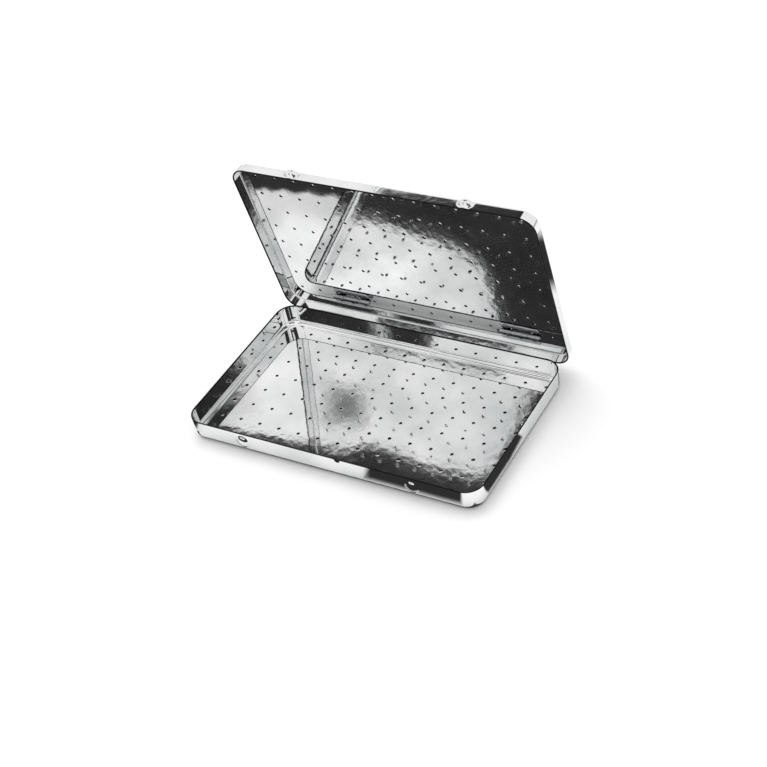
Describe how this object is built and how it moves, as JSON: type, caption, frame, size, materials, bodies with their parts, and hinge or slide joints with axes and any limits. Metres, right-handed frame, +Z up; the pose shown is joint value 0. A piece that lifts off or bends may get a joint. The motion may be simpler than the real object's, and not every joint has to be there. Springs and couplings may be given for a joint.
{
  "type": "sterilization case",
  "caption": "Flat polished steel case for sterilizing small instruments: a perforated base tray and a perforated lid that telescopes over it on butt hinges at the back.",
  "frame": {"origin": "centre of the base tray's flat underside, on the surface that the case stands on", "axes": "+X along the case's length to the right as seen from the front, +Y to the hinges at the back, +Z up"},
  "size_m": [0.15, 0.0973, 0.0992],
  "materials": {
    "tray_steel": "mirror-polished stainless sheet, deep drawn and punched",
    "hinge_steel": "satin stainless strip, rolled round the pin and spot welded to the tray",
    "pin_steel": "drawn stainless wire, cut and chamfered"
  },
  "bodies": {
    "base": {"base_tray": "tray_steel", "left_hinge_base_leaf": "hinge_steel", "right_hinge_base_leaf": "hinge_steel", "left_hinge_pin": "pin_steel", "right_hinge_pin": "pin_steel"},
    "lid": {"lid_tray": "tray_steel", "left_hinge_lid_leaf": "hinge_steel", "right_hinge_lid_leaf": "hinge_steel"}
  },
  "joints": [
    {"name": "lid_hinge", "type": "hinge", "parent": "base", "child": "lid", "pos_m": [0, 0.04592, 0.006], "axis": [-1, 0, 0], "range_deg": [-79.7, 40.3]}
  ]
}
